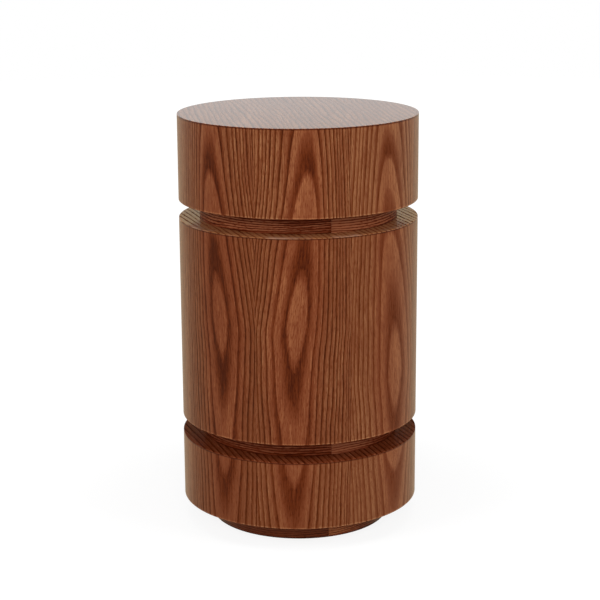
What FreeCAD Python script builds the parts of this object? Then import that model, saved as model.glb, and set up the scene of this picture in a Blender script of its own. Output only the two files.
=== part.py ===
import FreeCAD, Part
import math
import os

# Drum side table: three round drums stacked on a recessed plinth, with a narrower neck between
# each pair that leaves a square-cut groove all round. Each drum is a light box: two boards held
# apart by posts, a skin of two bent plywood layers wrapped round them, sheets of veneer on both
# faces and book-matched leaves of veneer round the side. Dowels keep the stack in line, and one
# threaded rod up the middle clamps it together from a socket in the plinth.
#
# Units are millimetres. +Z is up and the origin is on the floor at the centre. Azimuths are in
# degrees: zero is the front, which faces -Y, and they turn from there towards +X.

# --- outer form -----------------------------------------------------------------------------
drum_diameter = 356.0
top_drum_height = 127.0
middle_drum_height = 303.0
base_drum_height = 101.0
groove_height = 27.0
groove_depth = 31.0
plinth_height = 32.0
plinth_recess = 44.0

# --- boards, skins and veneers --------------------------------------------------------------
drum_board_thickness = 18.0
neck_board_count = 3
plinth_board_count = 2
skin_layer_thickness = 4.5
skin_seam_azimuths = (180.0, 0.0)
skin_seam_gap = 0.3
glue_line = 0.15
veneer_thickness = 0.6
veneer_eased_share = 0.6
leaf_count = 8
leaf_joint_azimuth = -20.5
leaf_joint_gap = 0.1
band_seam_azimuth = 18.5
band_seam_gap = 0.2

# --- inside the drums -----------------------------------------------------------------------
post_count = 4
post_width = 38.0
post_inset = 63.0
first_post_azimuth = 45.0
rib_thickness = 18.0
rib_width = 56.0
rib_notch_clearance = 0.2

# --- countersunk screws that fix the boards to the posts ------------------------------------
post_screw_diameter = 5.0
post_screw_head_diameter = 10.0
post_screw_head_height = 2.8
post_screw_length = 45.0
post_screw_offset = 9.0

# --- dowels that keep the drums in line -----------------------------------------------------
dowel_diameter = 10.0
dowel_bite = 12.0
dowel_glue_space = 1.0
dowel_inset = 26.0
dowel_azimuths = (0.0, 90.0, 180.0)

# --- tie rod and its nuts -------------------------------------------------------------------
rod_diameter = 10.0
rod_end_chamfer = 1.0
rod_hole_clearance = 0.5
rod_stick_out = 2.0
tee_flange_diameter = 25.0
tee_flange_thickness = 1.5
tee_barrel_wall = 1.0
tee_barrel_length = 13.0
washer_diameter = 30.0
washer_thickness = 2.5
nut_across_flats = 17.0
nut_height = 8.0
nut_corner_chamfer = 1.0
socket_diameter = 36.0
socket_spare_depth = 3.5

# --- glides under the plinth ----------------------------------------------------------------
glide_count = 4
glide_diameter = 25.0
glide_height = 3.0
glide_chamfer = 0.8
glide_inset = 22.0
glide_screw_diameter = 3.5
glide_screw_head_diameter = 7.0
glide_screw_head_height = 1.9
glide_screw_length = 16.0
glide_screw_sink = 0.8
drive_slot_width = 0.9
drive_slot_length = 4.0
drive_slot_depth = 1.2

# --- sizes and levels that follow from those above ------------------------------------------
drum_radius = drum_diameter / 2
skin_radius = drum_radius - veneer_thickness - glue_line
skin_pitch = skin_layer_thickness + glue_line
board_radius = skin_radius - skin_pitch * len(skin_seam_azimuths)
neck_radius = drum_radius - groove_depth
plinth_radius = drum_radius - plinth_recess
neck_board_radius = neck_radius - veneer_thickness - glue_line
plinth_board_radius = plinth_radius - veneer_thickness - glue_line
post_circle_radius = board_radius - post_inset
dowel_circle_radius = plinth_board_radius - dowel_inset
glide_circle_radius = plinth_board_radius - glide_inset
rod_hole_radius = rod_diameter / 2 + rod_hole_clearance
tee_barrel_radius = rod_diameter / 2 + tee_barrel_wall

plinth_bottom = glide_height
base_bottom = plinth_bottom + plinth_height
base_top = base_bottom + base_drum_height
middle_bottom = base_top + groove_height
middle_top = middle_bottom + middle_drum_height
top_bottom = middle_top + groove_height
table_height = top_bottom + top_drum_height

tee_flange_bottom = top_bottom + veneer_thickness + drum_board_thickness
socket_depth = washer_thickness + nut_height + rod_stick_out + socket_spare_depth
washer_bottom = plinth_bottom + socket_depth - washer_thickness
rod_bottom = washer_bottom - nut_height - rod_stick_out
rod_top = tee_flange_bottom + tee_flange_thickness + rod_stick_out

# Each set of dowels, by node name, with the levels that its dowels run between.
dowel_spans = {
    "plinth_dowels": (base_bottom - dowel_bite, base_bottom + dowel_bite),
    "lower_neck_dowels": (base_top - dowel_bite, middle_bottom + dowel_bite),
    "upper_neck_dowels": (middle_top - dowel_bite, top_bottom + dowel_bite),
}

up = FreeCAD.Vector(0, 0, 1)
down = FreeCAD.Vector(0, 0, -1)
table_axis = FreeCAD.Vector(0, 0, 0)
lower, upper = 0, 1


# --- helpers --------------------------------------------------------------------------------


def around(azimuth, radius, level=0.0):
    """The point at that azimuth and distance from the table's axis, at that level."""
    angle = math.radians(azimuth)
    return FreeCAD.Vector(radius * math.sin(angle), -radius * math.cos(angle), level)


def turned(shape, azimuth):
    """The shape swung about the table's axis, from the front to that azimuth."""
    shape.rotate(table_axis, up, azimuth)
    return shape


def spread(count, first_azimuth=0.0):
    """Evenly spaced azimuths all the way round."""
    return [first_azimuth + 360.0 * i / count for i in range(count)]


def post_azimuths():
    return spread(post_count, first_post_azimuth)


def disc(radius, bottom, height, centre=table_axis):
    return Part.makeCylinder(radius, height, FreeCAD.Vector(centre.x, centre.y, bottom), up)


def rims(shape):
    """The round edges of an upright disc, the lower one first."""
    return sorted((edge for edge in shape.Edges if edge.Closed), key=lambda edge: edge.CenterOfMass.z)


def hoop(outer_radius, thickness, bottom, height):
    """A closed band of that thickness, measured inwards from the outer radius."""
    return disc(outer_radius, bottom, height).cut(disc(outer_radius - thickness, bottom, height))


def wrapped_strip(outer_radius, thickness, bottom, height, seam_azimuth, seam_gap):
    """A strip bent right round into a band, with a butt seam where its two ends meet."""
    seam = Part.makeBox(seam_gap, 2 * thickness, height)
    seam.translate(FreeCAD.Vector(-seam_gap / 2, -outer_radius - thickness / 2, bottom))
    return hoop(outer_radius, thickness, bottom, height).cut(turned(seam, seam_azimuth))


def standing_box(width, bottom, height):
    """A square post's outline at the front of the circle the posts stand on."""
    corner = FreeCAD.Vector(-width / 2, -post_circle_radius - width / 2, bottom)
    return Part.makeBox(width, width, height, corner)


def stacked_boards(radius, bottom, height, count):
    """Equal boards glued up to that height, drilled for what passes through them."""
    thickness = height / count
    return [drilled(disc(radius, bottom + i * thickness, thickness)) for i in range(count)]


def screw(diameter, head_diameter, head_height, length, head_centre, direction):
    """A countersunk wood screw with its flat head at head_centre, running along direction."""
    radius = diameter / 2
    profile = [
        FreeCAD.Vector(0, 0, 0),
        FreeCAD.Vector(head_diameter / 2, 0, 0),
        FreeCAD.Vector(radius, 0, head_height),
        FreeCAD.Vector(radius, 0, length),
        FreeCAD.Vector(0, 0, length),
    ]
    outline = Part.Face(Part.makePolygon(profile + profile[:1]))
    body = outline.revolve(table_axis, up, 360)
    if direction.z < 0:
        body.rotate(table_axis, FreeCAD.Vector(1, 0, 0), 180)
    body.translate(head_centre)
    return body


# --- what holds the stack together ----------------------------------------------------------


def tie_rod():
    rod = disc(rod_diameter / 2, rod_bottom, rod_top - rod_bottom)
    return rod.makeChamfer(rod_end_chamfer, rims(rod))


def rod_bore(bottom, height):
    """The rod's own full width between two levels, to cut out of what is threaded on to it."""
    return disc(rod_diameter / 2, bottom, height)


def tee_nut():
    """A flange on the inner face of the board, and a barrel let into the hole below it."""
    flange = disc(tee_flange_diameter / 2, tee_flange_bottom, tee_flange_thickness)
    barrel_bottom = tee_flange_bottom - tee_barrel_length
    barrel = disc(tee_barrel_radius, barrel_bottom, tee_barrel_length)
    bore = rod_bore(barrel_bottom, tee_barrel_length + tee_flange_thickness)
    return flange.fuse(barrel).removeSplitter().cut(bore)


def washer():
    ring = disc(washer_diameter / 2, washer_bottom, washer_thickness)
    return ring.cut(disc(rod_hole_radius, washer_bottom, washer_thickness))


def hex_nut():
    """A hexagon with its corners turned down at both faces."""
    corner_radius = nut_across_flats / math.sqrt(3)
    bottom = washer_bottom - nut_height
    corners = [around(azimuth, corner_radius, bottom) for azimuth in spread(6)]
    hexagon = Part.Face(Part.makePolygon(corners + corners[:1])).extrude(up * nut_height)
    blank = disc(corner_radius, bottom, nut_height)
    turned_blank = blank.makeChamfer(nut_corner_chamfer, rims(blank))
    return hexagon.common(turned_blank).cut(rod_bore(bottom, nut_height))


def dowels(bottom, top):
    """One set of dowels. One place is left empty, so the stack goes together one way only."""
    return [
        disc(dowel_diameter / 2, bottom, top - bottom, around(azimuth, dowel_circle_radius))
        for azimuth in dowel_azimuths
    ]


def drilled(board):
    """The board with whatever holes the rod, the tee nut and the dowels need at its level."""
    rod_hole = disc(rod_hole_radius, 0, tee_flange_bottom)
    barrel_hole = disc(tee_barrel_radius, tee_flange_bottom - tee_barrel_length, tee_barrel_length)
    holes = [rod_hole, barrel_hole]
    for bottom, top in dowel_spans.values():
        holes += dowels(bottom - dowel_glue_space, top + dowel_glue_space)
    return board.cut(holes)


# --- one drum -------------------------------------------------------------------------------


def face_veneer(bottom, eased_rim):
    """A sheet of veneer over a whole face, with its lower or its upper rim eased."""
    sheet = disc(drum_radius, bottom, veneer_thickness)
    return drilled(sheet.makeChamfer(veneer_thickness * veneer_eased_share, [rims(sheet)[eased_rim]]))


def skin(bottom, height):
    """Layers of bent plywood from the inside out, with their seams on different sides."""
    return [
        wrapped_strip(
            board_radius + (layer + 1) * skin_pitch,
            skin_layer_thickness,
            bottom,
            height,
            seam_azimuth,
            skin_seam_gap,
        )
        for layer, seam_azimuth in enumerate(skin_seam_azimuths)
    ]


def side_leaves(bottom, height):
    """The leaves of veneer round the side, with a hairline joint between each pair."""
    sweep = 360.0 / leaf_count - math.degrees(leaf_joint_gap / drum_radius)
    centre = FreeCAD.Vector(0, 0, bottom)
    leaves = []
    for joint in spread(leaf_count, leaf_joint_azimuth):
        outer = Part.makeCylinder(drum_radius, height, centre, up, sweep)
        inner = Part.makeCylinder(drum_radius - veneer_thickness, height, centre, up, sweep)
        # A cylinder's sweep starts at +X, a quarter turn past the front.
        leaves.append(turned(outer.cut(inner), joint - 90.0))
    return leaves


def post_screw(offset, board_face, direction):
    """A screw into the post at the front, that far to the side of the post's middle."""
    return screw(
        post_screw_diameter,
        post_screw_head_diameter,
        post_screw_head_height,
        post_screw_length,
        FreeCAD.Vector(offset, -post_circle_radius, board_face),
        direction,
    )


def post_screws(lower_face, upper_face):
    """One screw up and one down into every post, side by side so that they never meet."""
    pairs = [
        (post_screw(-post_screw_offset, lower_face, up), post_screw(post_screw_offset, upper_face, down))
        for azimuth in post_azimuths()
    ]
    return [turned(part, azimuth) for azimuth, pair in zip(post_azimuths(), pairs) for part in pair]


def rib(bottom):
    """The ring at mid-height that stiffens a tall skin, notched where it passes the posts."""
    notch_width = post_width + 2 * rib_notch_clearance
    notches = [
        turned(standing_box(notch_width, bottom, rib_thickness), azimuth) for azimuth in post_azimuths()
    ]
    return hoop(board_radius, rib_width, bottom, rib_thickness).cut(notches)


def drum(name, bottom, height, ribbed=False):
    """Every piece of one drum, from its lower face veneer to its upper one, by node name."""
    top = bottom + height
    lower_face = bottom + veneer_thickness
    upper_face = top - veneer_thickness
    skin_height = upper_face - lower_face
    room_bottom = lower_face + drum_board_thickness
    room_top = upper_face - drum_board_thickness
    room_height = room_top - room_bottom

    screws = post_screws(lower_face, upper_face)
    blank_posts = [turned(standing_box(post_width, room_bottom, room_height), a) for a in post_azimuths()]
    inner_skin, outer_skin = skin(lower_face, skin_height)
    pieces = {
        "bottom_veneer": [face_veneer(bottom, lower)],
        "bottom_board": [drilled(disc(board_radius, lower_face, drum_board_thickness)).cut(screws)],
        "posts": [post.cut(screws) for post in blank_posts],
        "post_screws": screws,
        "top_board": [drilled(disc(board_radius, room_top, drum_board_thickness)).cut(screws)],
        "inner_skin": [inner_skin],
        "outer_skin": [outer_skin],
        "top_veneer": [face_veneer(upper_face, upper)],
        "side_veneer": side_leaves(lower_face, skin_height),
    }
    if ribbed:
        pieces["rib"] = [rib((room_bottom + room_top - rib_thickness) / 2)]
    return {f"{name}_{piece}": solids for piece, solids in pieces.items()}


# --- necks, plinth and glides ---------------------------------------------------------------


def neck(name, bottom):
    """Boards stacked to the height of a groove, with one strip of veneer wrapped round them."""
    band = wrapped_strip(
        neck_radius, veneer_thickness, bottom, groove_height, band_seam_azimuth, band_seam_gap
    )
    return {
        f"{name}_boards": stacked_boards(neck_board_radius, bottom, groove_height, neck_board_count),
        f"{name}_band": [band],
    }


def glide_screws():
    """Driven up through the glides, with cross-slotted heads sunk above the glides' undersides."""
    screws = []
    for azimuth in spread(glide_count, first_post_azimuth):
        head_centre = around(azimuth, glide_circle_radius, glide_screw_sink)
        body = screw(
            glide_screw_diameter,
            glide_screw_head_diameter,
            glide_screw_head_height,
            glide_screw_length,
            head_centre,
            up,
        )
        slot = Part.makeBox(drive_slot_length, drive_slot_width, drive_slot_depth)
        slot.translate(FreeCAD.Vector(-drive_slot_length / 2, -drive_slot_width / 2, 0))
        crossing_slot = slot.copy()
        crossing_slot.rotate(table_axis, up, 90)
        cross = slot.fuse(crossing_slot)
        cross.translate(head_centre)
        screws.append(body.cut(cross))
    return screws


def glide_screw_hole(azimuth):
    """The space a glide's screw fills, with the well below its head."""
    hole = screw(
        glide_screw_diameter,
        glide_screw_head_diameter,
        glide_screw_head_height,
        glide_screw_length,
        around(azimuth, glide_circle_radius, glide_screw_sink),
        up,
    )
    well = disc(glide_screw_head_diameter / 2, 0, glide_screw_sink, around(azimuth, glide_circle_radius))
    return hole.fuse(well).removeSplitter()


def glides():
    """Round nylon feet with a chamfered lower edge."""
    feet = []
    for azimuth in spread(glide_count, first_post_azimuth):
        foot = disc(glide_diameter / 2, 0, glide_height, around(azimuth, glide_circle_radius))
        eased_foot = foot.makeChamfer(glide_chamfer, [rims(foot)[lower]])
        feet.append(eased_foot.cut(glide_screw_hole(azimuth)))
    return feet


def plinth():
    """Stacked boards with a socket for the rod's nut, and a strip of veneer round them."""
    socket = disc(socket_diameter / 2, plinth_bottom, socket_depth)
    screw_holes = [glide_screw_hole(azimuth) for azimuth in spread(glide_count, first_post_azimuth)]
    boards = stacked_boards(plinth_board_radius, plinth_bottom, plinth_height, plinth_board_count)
    band = wrapped_strip(
        plinth_radius, veneer_thickness, plinth_bottom, plinth_height, band_seam_azimuth, band_seam_gap
    )
    return {
        "plinth_boards": [board.cut([socket] + screw_holes) for board in boards],
        "plinth_band": [band],
    }


# --- the whole table ------------------------------------------------------------------------


def table():
    """Every node of the table from the floor up, as lists of solids by node name."""
    nodes = {"glides": glides(), "glide_screws": glide_screws()}
    nodes.update(plinth())
    nodes.update(drum("base_drum", base_bottom, base_drum_height))
    nodes.update(neck("lower_neck", base_top))
    nodes.update(drum("middle_drum", middle_bottom, middle_drum_height, ribbed=True))
    nodes.update(neck("upper_neck", middle_top))
    nodes.update(drum("top_drum", top_bottom, top_drum_height))
    for name, (bottom, top) in dowel_spans.items():
        nodes[name] = dowels(bottom, top)
    nodes["tie_rod"] = [tie_rod()]
    nodes["tie_rod_tee_nut"] = [tee_nut()]
    nodes["tie_rod_washer"] = [washer()]
    nodes["tie_rod_nut"] = [hex_nut()]
    return nodes


os.makedirs("parts", exist_ok=True)
for node_name, node_solids in table().items():
    shape = node_solids[0] if len(node_solids) == 1 else Part.makeCompound(node_solids)
    shape.exportStep(f"parts/{node_name}.step")
    print(f"{node_name}: {len(shape.Solids)} solids, {shape.Volume / 1000:.1f} cm3, valid {shape.isValid()}")
print(f"table height {table_height:.1f} mm, diameter {drum_diameter:.1f} mm")
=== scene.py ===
"""Drum side table: the looks, built over the packed frame.

Each operator makes one group of pieces, and one makes the stage. Lengths are in metres,
+Z is up, and azimuths turn from the front, which faces -Y, towards +X.
"""

import math

import bmesh
import bpy
from bpy.props import FloatProperty, FloatVectorProperty, IntProperty, PointerProperty
from mathutils import Matrix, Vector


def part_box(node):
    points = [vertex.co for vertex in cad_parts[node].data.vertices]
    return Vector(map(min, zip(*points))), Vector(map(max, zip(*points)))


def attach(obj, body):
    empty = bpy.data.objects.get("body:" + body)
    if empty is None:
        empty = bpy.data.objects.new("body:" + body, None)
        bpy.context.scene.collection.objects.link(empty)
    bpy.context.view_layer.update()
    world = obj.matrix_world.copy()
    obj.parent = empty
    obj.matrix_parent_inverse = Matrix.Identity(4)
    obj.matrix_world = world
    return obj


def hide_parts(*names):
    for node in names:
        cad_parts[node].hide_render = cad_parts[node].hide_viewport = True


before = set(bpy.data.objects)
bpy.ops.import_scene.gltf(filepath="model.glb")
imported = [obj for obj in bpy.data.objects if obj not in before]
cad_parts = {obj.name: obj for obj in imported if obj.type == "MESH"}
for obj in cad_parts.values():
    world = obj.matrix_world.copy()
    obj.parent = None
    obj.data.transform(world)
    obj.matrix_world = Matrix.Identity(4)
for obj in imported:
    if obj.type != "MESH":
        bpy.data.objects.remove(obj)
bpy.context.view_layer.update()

bl_info = {
    "name": "Drum side table",
    "version": (1, 0, 0),
    "blender": (4, 5, 0),
    "location": "3D View > Sidebar > Table",
    "description": "Veneered pieces, finishes and stage of a drum side table",
    "category": "Object",
}

BODY = "root"
DRUMS = ("base_drum", "middle_drum", "top_drum")
# What each leaf's faces store for its material.
LEAF_VALUES = ("leaf", "depth", "tone", "bold", "stretch", "narrow")

MERGE_DISTANCE = 1e-6
LEVEL_FACE = 0.999
CREASE_ANGLE = math.radians(35)
QUARTER_TURN = math.pi / 2
FULL_TURN = 2 * math.pi
MM_PER_METRE = 1000.0
RELIEF_DEPTH = 0.0002
NOISE_ROUGHNESS = 0.6
WHITE = (1.0, 1.0, 1.0, 1.0)
# Sockets of a node that mixes colours: its share, its two colours, and the mixed one.
MIX_SHARE = 0
MIX_FIRST = 6
MIX_SECOND = 7
MIXED = 2
# The level on the table's axis that the lamps point at.
AIM_LEVEL = 0.35


# --- colours and nodes ---


def linear(code):
    """The linear colour of an sRGB hex code, with full alpha."""
    shares = [int(code[i : i + 2], 16) / 255 for i in (1, 3, 5)]
    curve = [s / 12.92 if s <= 0.04045 else ((s + 0.055) / 1.055) ** 2.4 for s in shares]
    return (*curve, 1.0)


def colour(name, description, code):
    """A colour setting whose default is an sRGB hex code."""
    return FloatVectorProperty(
        name=name, description=description, default=linear(code), size=4, min=0.0, max=1.0, subtype="COLOR"
    )


def length(name, description, default):
    """A length setting, in metres."""
    return FloatProperty(
        name=name, description=description, default=default, min=0.0, precision=4, subtype="DISTANCE",
        unit="LENGTH",
    )


def angle(name, description, degrees):
    """An angle setting whose default is given in degrees."""
    return FloatProperty(
        name=name, description=description, default=math.radians(degrees), subtype="ANGLE", unit="ROTATION"
    )


def number(name, description, default):
    """A plain number setting."""
    return FloatProperty(name=name, description=description, default=default, precision=4)


def share(name, description, default):
    """A setting from 0 to 1."""
    return FloatProperty(
        name=name, description=description, default=default, min=0.0, max=1.0, subtype="FACTOR"
    )


def row(name, description, values):
    """A plain number for each leaf, or for the base, middle and top drum."""
    return FloatVectorProperty(
        name=name, description=description, default=values, size=len(values), precision=3
    )


def face_count(name, description, default, least):
    """A setting that counts the faces along a curve."""
    return IntProperty(name=name, description=description, default=default, min=least)


def add(tree, kind, links=(), stops=(), **settings):
    """Adds a node, sets its settings, and feeds its sockets from nodes, sockets or plain values.

    The links go by the sockets' names or numbers, or are a list in their order. The stops are a
    colour ramp's: positions and colours.
    """
    node = tree.nodes.new(f"ShaderNode{kind}")
    for name, value in settings.items():
        setattr(node, name, value)
    named = links if isinstance(links, dict) else dict(enumerate(links))
    for socket, source in named.items():
        if isinstance(source, bpy.types.Node):
            source = source.outputs[0]
        if isinstance(source, bpy.types.NodeSocket):
            tree.links.new(source, node.inputs[socket])
        else:
            node.inputs[socket].default_value = source
    for index, (position, value) in enumerate(stops):
        elements = node.color_ramp.elements
        element = elements[index] if index < len(elements) else elements.new(position)
        element.position = position
        element.color = value
    return node


def blank(name):
    """A new material with an empty node tree."""
    material = bpy.data.materials.new(name)
    material.use_nodes = True
    material.node_tree.nodes.clear()
    return material, material.node_tree


# --- stained ash ---

# Patches of each pattern, in millimetres across and along the grain. Bundles of fibre and single
# pores are drawn several times as wide as the real 0.2 mm, which is too fine to show.
FIGURE_DRIFT = (63.0, 143.0)
RING_WAVE = (20.0, 50.0)
SHEET_SWAY = (63.0, 286.0)
RAGGED_EDGE = (1.6, 7.0)
FIBRE = (1.6, 38.0)
PORE = (1.3, 9.0)
STAIN_CLOUD = (26.0, 143.0)
WEAR_AND_GLINT_PATCH = (60.0, 60.0)

# How full of pores a ring is, at some shares of its width.
PORE_PROFILE = ((0.0, 0.8), (0.06, 1.0), (0.25, 0.6), (0.5, 0.1), (0.92, 0.0), (1.0, 0.8))
# Powers that narrow the pores' share of a ring, at the heart and more so on the flanks.
HEART_NARROWING = 0.8
FLANK_NARROWING = 0.6
# How strong the lines of pores are, at the heart, on the flanks, and from year to year.
HEART_LINES = 0.85
FLANK_LINES = 1.25
WEAKEST_YEAR = 0.9
YEAR_SPREAD = 0.25
# Good and poor years follow each other in runs, at so many runs a ring.
RUNS_OF_YEARS = 0.6
# Shares of a ring: how ragged its edge is, and between what widths a blotch fades.
RAGGED_SHARE = 0.13
BLOTCH_START = 0.1
BLOTCH_END = 0.58
# How strong a blotch is, and how it gathers towards a tip.
BLOTCH_STRENGTH = 0.88
BLOTCH_POWER = 0.5
# Levels of the noises where a single pore and a pale patch of wear and painted glint start and are whole.
PORE_START = 0.5
PORE_WHOLE = 0.68
WEAR_AND_GLINT_START = 0.47
WEAR_AND_GLINT_WHOLE = 0.57
# How far the fibre breaks up the lines of pores, and how much each layer darkens the wood.
BROKEN_LINES = 0.5
FIBRE_IN_LINES = 0.9
PORE_SHADE = 0.35
FIBRE_SHADE = 1.1
CLOUD_SHADE = 0.5
MEAN_SHADE = 1.0
# Where the ramp of the stain's colours has its inner stops.
MIDDLE_STOP = 0.32
DARK_STOP = 0.75
FULL_SHEEN = 0.5
# Leaves from one log differ little, so the seed moves slowly from leaf to leaf.
SEED_STEP = 0.25


def grain_noise(tree, place, patch, seed=0.0, detail=2.0):
    """Noise in patches of that many millimetres across and along the grain."""
    across, along = (MM_PER_METRE / size for size in patch)
    stretched = add(tree, "Mapping", {"Vector": place, "Scale": (across, along, 1.0)})
    return add(
        tree, "TexNoise",
        {"Vector": stretched, "W": seed, "Scale": 1.0, "Detail": detail, "Roughness": NOISE_ROUGHNESS},
        noise_dimensions="4D",
    )


def crown_cut_rings(tree, place, leaf, seed, grain):
    """Counts the growth rings outwards from the heart of a leaf that is sliced across the crown.

    A ring's contour is a closed tongue: arched above the heart's level and pointed below it. The
    count is a whole number where a ring starts. The second value tells how near a point is to the
    tongues' tips, from 0 at their sides to 1. Distances are in millimetres.
    """
    # The whole figure drifts from side to side up the tree, and each ring's line has waves.
    drift = grain_noise(tree, place, FIGURE_DRIFT, seed, 1.0)
    wave = grain_noise(tree, place, RING_WAVE, seed, 1.0)
    mean_sway = (grain.drift + grain.wave) / 2
    drifted = add(tree, "Math", [drift, grain.drift, -mean_sway], operation="MULTIPLY_ADD")
    sway = add(tree, "Math", [wave, grain.wave, drifted], operation="MULTIPLY_ADD")
    parts = add(tree, "SeparateXYZ", [place])
    across = add(tree, "Math", [parts.outputs["X"], MM_PER_METRE, sway], operation="MULTIPLY_ADD")
    # The rings stand closer on one side of the heart, but open out again near the leaf's far edge.
    near_side = add(tree, "Math", [across, -1.0], operation="MULTIPLY")
    close = add(tree, "Math", [across, grain.lopsided], operation="MULTIPLY")
    opened = add(tree, "Math", [across, grain.far_rate, grain.far_start], operation="MULTIPLY_ADD")
    far_side = add(tree, "Math", [close, opened, grain.far_blend], operation="SMOOTH_MIN")
    either_side = add(tree, "Math", [near_side, far_side], operation="MAXIMUM")
    side = add(tree, "Math", [either_side, leaf["narrow"]], operation="MULTIPLY")
    height = add(
        tree, "Math", [parts.outputs["Y"], MM_PER_METRE, -grain.heart_level], operation="MULTIPLY_ADD"
    )
    # Level reached along the heart line: gentle above the heart, nearly even below it.
    up = add(tree, "Math", [height, 0.0], operation="MAXIMUM")
    up_power = add(tree, "Math", [up, grain.up_power], operation="POWER")
    depth_below = add(tree, "Math", [height, -1.0], operation="MULTIPLY")
    down = add(tree, "Math", [depth_below, 0.0], operation="MAXIMUM")
    down_power = add(tree, "Math", [down, grain.down_power], operation="POWER")
    down_level = add(tree, "Math", [down_power, grain.down_rate], operation="MULTIPLY")
    even_along = add(tree, "Math", [up_power, grain.up_rate, down_level], operation="MULTIPLY_ADD")
    along = add(tree, "Math", [even_along, leaf["stretch"]], operation="MULTIPLY")
    # Level reached across the leaf. The straight share below the heart makes the tips sharp.
    side_power = add(tree, "Math", [side, grain.side_power], operation="POWER")
    below = add(
        tree, "MapRange", {"Value": down, "From Max": grain.tip_start, "To Max": grain.tip_rate},
        interpolation_type="SMOOTHSTEP",
    )
    sideways = add(tree, "Math", [side, below, side_power], operation="MULTIPLY_ADD")
    # Contours are fuller than an ellipse, with steep sides and round shoulders.
    full_side = add(tree, "Math", [sideways, grain.fullness], operation="POWER")
    full_along = add(tree, "Math", [along, grain.fullness], operation="POWER")
    level = add(tree, "Math", [full_side, full_along], operation="ADD")
    # Near a tip, most of the level comes from the way along the grain.
    whole = add(tree, "Math", [side_power, along], operation="ADD")
    tip = add(tree, "Math", [along, whole], operation="DIVIDE")
    # Rings are broad at the heart and a few millimetres apart on the flanks.
    crowding = grain.crowding / grain.fullness
    crowded = add(tree, "Math", [level, crowding], operation="POWER")
    count = add(tree, "Math", [crowded, grain.first_ring], operation="DIVIDE")
    # Good and poor years make rings of uneven width.
    years = add(
        tree, "TexNoise", {"W": count, "Scale": RUNS_OF_YEARS, "Detail": 1.0}, noise_dimensions="1D"
    )
    narrowest = 1 - grain.uneven_years / 2
    uneven = add(tree, "Math", [years, grain.uneven_years, narrowest], operation="MULTIPLY_ADD")
    aged = add(tree, "Math", [count, uneven, -grain.heart_ring], operation="MULTIPLY_ADD")
    ring = add(tree, "Math", [aged, leaf["depth"]], operation="ADD")
    return ring, tip


def straight_rings(tree, place, spacing, sway_reach):
    """Counts the growth rings across a straight-grained sheet, whose grain runs along V."""
    sway = grain_noise(tree, place, SHEET_SWAY, detail=3.0)
    parts = add(tree, "SeparateXYZ", [place])
    swayed = add(tree, "Math", [sway, sway_reach, parts.outputs["X"]], operation="MULTIPLY_ADD")
    return add(tree, "Math", [swayed, spacing], operation="DIVIDE")


def pore_lines(tree, place, ring, seed, tip, flank):
    """Turns a ring count into lines of pores: 0 in dense wood, and about 1 where a ring starts."""
    # Vessels end at random, so the edge of each ring is ragged.
    ragged = grain_noise(tree, place, RAGGED_EDGE, seed)
    rough_ring = add(tree, "Math", [ragged, RAGGED_SHARE, ring], operation="MULTIPLY_ADD")
    part = add(tree, "Math", [rough_ring], operation="FRACT")
    # The pores fill more of the broad rings at the heart than of the narrow ones on the flanks.
    narrowing = add(
        tree, "MapRange", {"Value": flank, "To Min": HEART_NARROWING, "To Max": FLANK_NARROWING}
    )
    narrowed = add(tree, "Math", [part, narrowing], operation="POWER")
    # Each ring starts with a sharp line of open pores, which thin out before its middle.
    profile = [(position, (fill, fill, fill, 1.0)) for position, fill in PORE_PROFILE]
    porous = add(tree, "ValToRGB", {"Fac": narrowed}, profile)
    year = add(tree, "Math", [rough_ring], operation="FLOOR")
    seeded = add(tree, "Math", [year, seed], operation="ADD")
    luck = add(tree, "TexWhiteNoise", {"W": seeded}, noise_dimensions="1D")
    strength = add(tree, "Math", [luck, YEAR_SPREAD, WEAKEST_YEAR], operation="MULTIPLY_ADD")
    # The crowded lines on the flanks are the darkest.
    crowding = add(tree, "MapRange", {"Value": flank, "To Min": HEART_LINES, "To Max": FLANK_LINES})
    crowded = add(tree, "Math", [strength, crowding], operation="MULTIPLY")
    lines = add(tree, "Math", [porous, crowded], operation="MULTIPLY")
    # At the tips of the tongues the knife cut along the rings, so the pores show as a blotch.
    fading = add(
        tree, "MapRange",
        {
            "Value": part, "From Min": BLOTCH_START, "From Max": BLOTCH_END, "To Min": BLOTCH_STRENGTH,
            "To Max": 0.0,
        },
        interpolation_type="SMOOTHSTEP",
    )
    near_tip = add(tree, "Math", [tip, BLOTCH_POWER], operation="POWER")
    blotch = add(tree, "Math", [fading, near_tip], operation="MULTIPLY")
    return add(tree, "Math", [lines, blotch], operation="MAXIMUM")


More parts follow.
